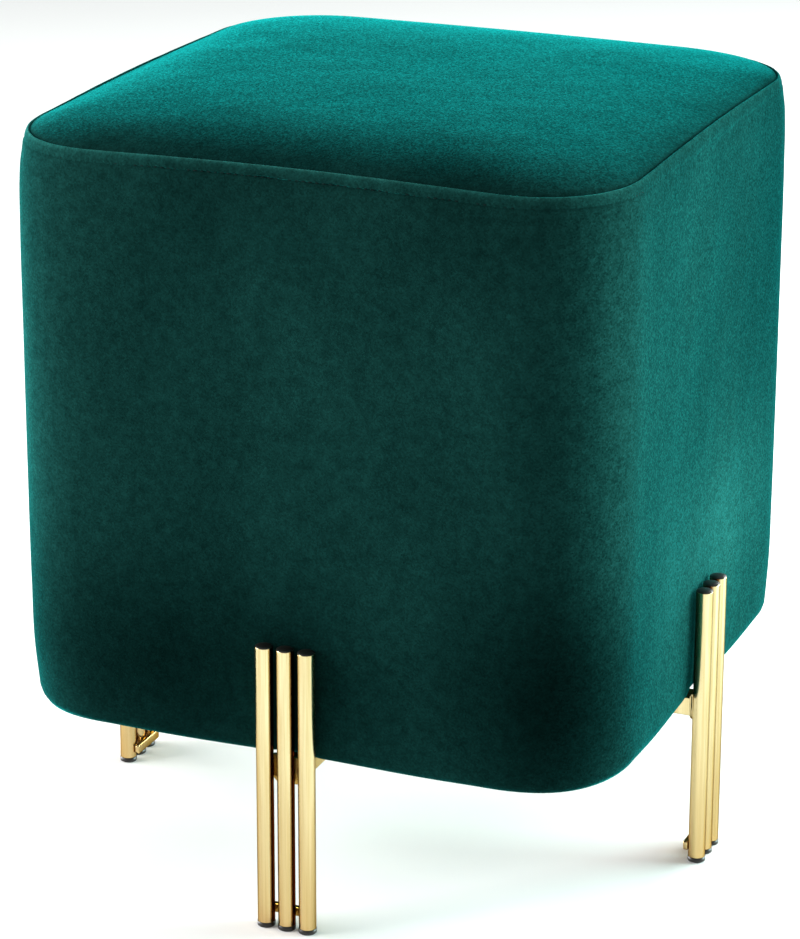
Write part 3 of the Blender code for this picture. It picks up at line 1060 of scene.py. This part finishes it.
def legs(brass, plastic):
    """All four legs: each piece of the right one, turned to every side."""
    for name, (points, closed_rows, finish, slot) in leg_pieces(brass, plastic).items():
        for side, turns in QUARTERS:
            node = name.replace("SIDE", side)
            made = add_surface(f"{node}_shown", to_side(points, turns), finish, closed_rows)
            if name.startswith("tube"):
                along = to_side(np.array([0.0, 1.0, 0.0]), turns)
                neighbours = {"a": [along], "b": [along, -along], "c": [-along]}[name[-1]]
                paint_flank_shade(made, np.array(middle(node)[0]), neighbours)
            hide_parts(node)
            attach(made, "root")


def under_bars(brass):
    """The crossed bars under the cube, with rounded edges."""
    for node in ("cross_bar", "half_bar_front", "half_bar_back"):
        low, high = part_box(node)
        corners = [(low.x, low.y), (high.x, low.y), (high.x, high.y), (low.x, high.y)]
        made = add_surface(f"{node}_shown", flat_bar_points(corners, low.z, high.z), brass)
        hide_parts(node)
        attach(made, "root")


# ---------------------------------------------------------------- camera, floor and light


def photo_camera():
    """The photograph's view: its angle, distance, focal length and the place of its middle."""
    data = bpy.data.cameras.new("camera")
    camera = new_object("camera", data)
    a, e, roll = CAMERA_AZIMUTH, CAMERA_ELEVATION, CAMERA_ROLL
    back = Vector((math.sin(a) * math.cos(e), -math.cos(a) * math.cos(e), math.sin(e)))
    level = Vector((math.cos(a), math.sin(a), 0.0))
    over = back.cross(level)
    right = math.cos(roll) * level + math.sin(roll) * over
    up = math.cos(roll) * over - math.sin(roll) * level
    turn = Matrix((right, up, back)).transposed().to_4x4()
    camera.matrix_world = Matrix.Translation(CAMERA_TARGET + back * CAMERA_DISTANCE) @ turn
    data.sensor_width = SENSOR_WIDTH
    data.lens = FOCAL_PIXELS * SENSOR_WIDTH / PHOTO_HEIGHT
    data.shift_x = (PHOTO_WIDTH / 2 - CENTRE_PIXEL[0]) / PHOTO_HEIGHT
    data.shift_y = (CENTRE_PIXEL[1] - PHOTO_HEIGHT / 2) / PHOTO_HEIGHT
    bpy.context.scene.camera = camera


def floor_plane():
    """The floor, which only the picture needs."""
    mesh = bpy.data.meshes.new("floor")
    corners = [(x * FLOOR_HALF, y * FLOOR_HALF, 0.0) for x, y in ((-1, -1), (1, -1), (1, 1), (-1, 1))]
    mesh.from_pydata(corners, [], [(0, 1, 2, 3)])
    mesh.materials.append(painted_floor())
    floor = new_object("floor", mesh)


def softbox(name, azimuth, elevation, watts, width, height, colour):
    """A softbox aimed at the cube, at an azimuth from +X and an elevation in degrees."""
    data = bpy.data.lights.new(name, "AREA")
    data.shape = "RECTANGLE"
    data.size, data.size_y = width, height
    data.energy = watts
    data.color = linear(colour)[:3]
    light = new_object(name, data)
    a, e = math.radians(azimuth), math.radians(elevation)
    away = Vector((math.cos(a) * math.cos(e), math.sin(a) * math.cos(e), math.sin(e)))
    light.location = SOFTBOX_AIM + SOFTBOX_DISTANCE * away
    light.rotation_euler = (SOFTBOX_AIM - light.location).to_track_quat("-Z", "Y").to_euler()
    light.visible_camera = False


def studio_light():
    """The softboxes, in a white room."""
    for box in SOFTBOXES:
        softbox(*box)
    world = bpy.data.worlds.new("room")
    world.use_nodes = True
    background = world.node_tree.nodes["Background"]
    background.inputs["Color"].default_value = linear("FFFFFF")
    background.inputs["Strength"].default_value = ROOM_LIGHT
    bpy.context.scene.world = world
    bpy.context.scene.view_settings.view_transform = "Standard"


def main():
    """Builds the stool and the studio."""
    velvet, thread = dyed_velvet(), spun_thread()
    brass, plastic = polished_brass(), moulded_plastic()
    velvet_cube(velvet)
    seam_roll(velvet)
    seam_stitches(thread)
    legs(brass, plastic)
    under_bars(brass)
    photo_camera()
    floor_plane()
    studio_light()


main()
